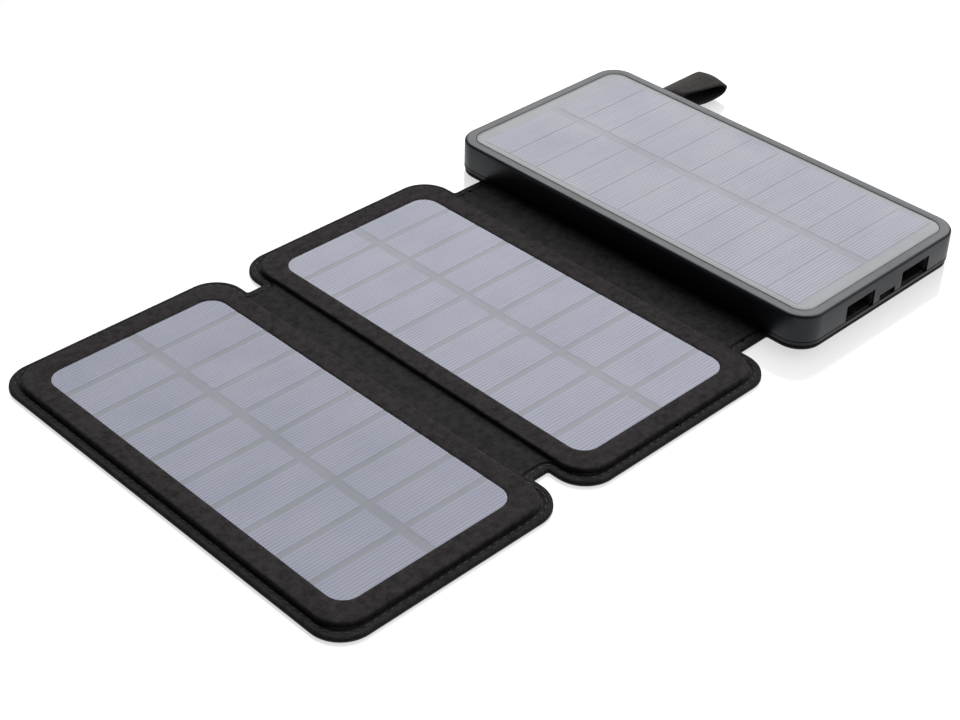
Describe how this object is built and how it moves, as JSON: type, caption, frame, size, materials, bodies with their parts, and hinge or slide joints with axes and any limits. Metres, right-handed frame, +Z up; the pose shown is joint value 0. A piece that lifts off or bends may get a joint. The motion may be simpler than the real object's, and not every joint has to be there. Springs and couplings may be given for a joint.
{
  "type": "folding solar phone charger",
  "caption": "Folding solar charger: fabric-framed solar panels and a solar power bank with USB sockets, joined by one sewn cover that folds at its spines.",
  "frame": {"origin": "centre of the power bank's footprint, on the underside of the cover, where the charger rests on a table", "axes": "+X from the folding panels across the power bank towards the strap, +Y along the panels away from the sockets, +Z up out of the solar cells"},
  "size_m": [0.281, 0.1446, 0.0117],
  "materials": {
    "cover_leather": "soft-grained matte synthetic leather",
    "cover_lining": "matte microfibre",
    "pad_fabric": "matte microfibre, pressed over foam",
    "strap_webbing": "flat microfibre strap",
    "foam": "closed-cell foam",
    "stiffener_board": "pressed grey board",
    "flat_lead": "copper in amber film",
    "circuit_board": "solder resist",
    "solar_cells": "blue-black silicon",
    "front_sheet": "hazy clear sheet",
    "case_plastic": "soft-touch satin",
    "button_plastic": "satin",
    "tape": "double-sided tape",
    "battery_foil": "laminated foil",
    "wire": "insulated lead",
    "plated_steel": "nickel plated",
    "contacts": "gold plated",
    "black_plastic": "moulded",
    "ferrite": "sintered core",
    "ceramic_parts": "fired",
    "light_plastic": "clear"
  },
  "bodies": {
    "base": {"leather_c": "cover_leather", "lining_c": "cover_lining", "lead_c": "flat_lead", "bank_adhesive": "tape", "case_lower": "case_plastic", "case_upper": "case_plastic", "bank_board": "circuit_board", "bank_cells": "solar_cells", "bank_sheet": "front_sheet", "battery_tape": "tape", "battery_cell": "battery_foil", "cell_protector": "circuit_board", "battery_leads": "wire", "solar_leads": "wire", "control_board": "circuit_board", "board_screws": "plated_steel", "usb_a1_shell": "plated_steel", "usb_a1_tongue": "black_plastic", "usb_a1_contacts": "contacts", "usb_a2_shell": "plated_steel", "usb_a2_tongue": "black_plastic", "usb_a2_contacts": "contacts", "micro_usb_shell": "plated_steel", "micro_usb_tongue": "black_plastic", "power_inductor": "ferrite", "control_chips": "black_plastic", "capacitors": "ceramic_parts", "tact_switch": "black_plastic", "charge_leds": "light_plastic", "light_guide": "light_plastic", "strap_tab": "strap_webbing"},
    "spine": {"leather_spine": "cover_leather", "lining_spine": "cover_lining", "lead_spine": "flat_lead"},
    "panel_b": {"leather_b": "cover_leather", "lining_b": "cover_lining", "lead_b": "flat_lead", "stiffener_b": "stiffener_board", "foam_b": "foam", "board_b": "circuit_board", "cells_b": "solar_cells", "sheet_b": "front_sheet", "frame_b": "pad_fabric"},
    "panel_a": {"leather_a": "cover_leather", "lining_a": "cover_lining", "lead_a": "flat_lead", "stiffener_a": "stiffener_board", "foam_a": "foam", "board_a": "circuit_board", "cells_a": "solar_cells", "sheet_a": "front_sheet", "frame_a": "pad_fabric"},
    "strap": {"strap_loop": "strap_webbing"},
    "button": {"power_button": "button_plastic"}
  },
  "joints": [
    {"name": "bank_fold", "type": "hinge", "parent": "base", "child": "spine", "pos_m": [-0.0393, 0, 0.00075], "axis": [0, 1, 0], "range_deg": [0, 90]},
    {"name": "panel_fold", "type": "hinge", "parent": "spine", "child": "panel_b", "pos_m": [-0.0527, 0, 0.00075], "axis": [0, 1, 0], "range_deg": [0, 90]},
    {"name": "back_fold", "type": "hinge", "parent": "panel_b", "child": "panel_a", "pos_m": [-0.1321, 0, -0.0001], "axis": [0, -1, 0], "range_deg": [0, 180]},
    {"name": "strap_swing", "type": "hinge", "parent": "base", "child": "strap", "pos_m": [0.0393, 0.05, 0.0012], "axis": [0, -1, 0], "range_deg": [0, 12]},
    {"name": "button_press", "type": "slide", "parent": "base", "child": "button", "axis": [-1, 0, 0], "range_m": [0, 0.0004], "stiffness_N_per_m": 1500}
  ],
  "couplings": [
    {"joint": "panel_fold", "follows": "bank_fold", "ratio": 1}
  ]
}
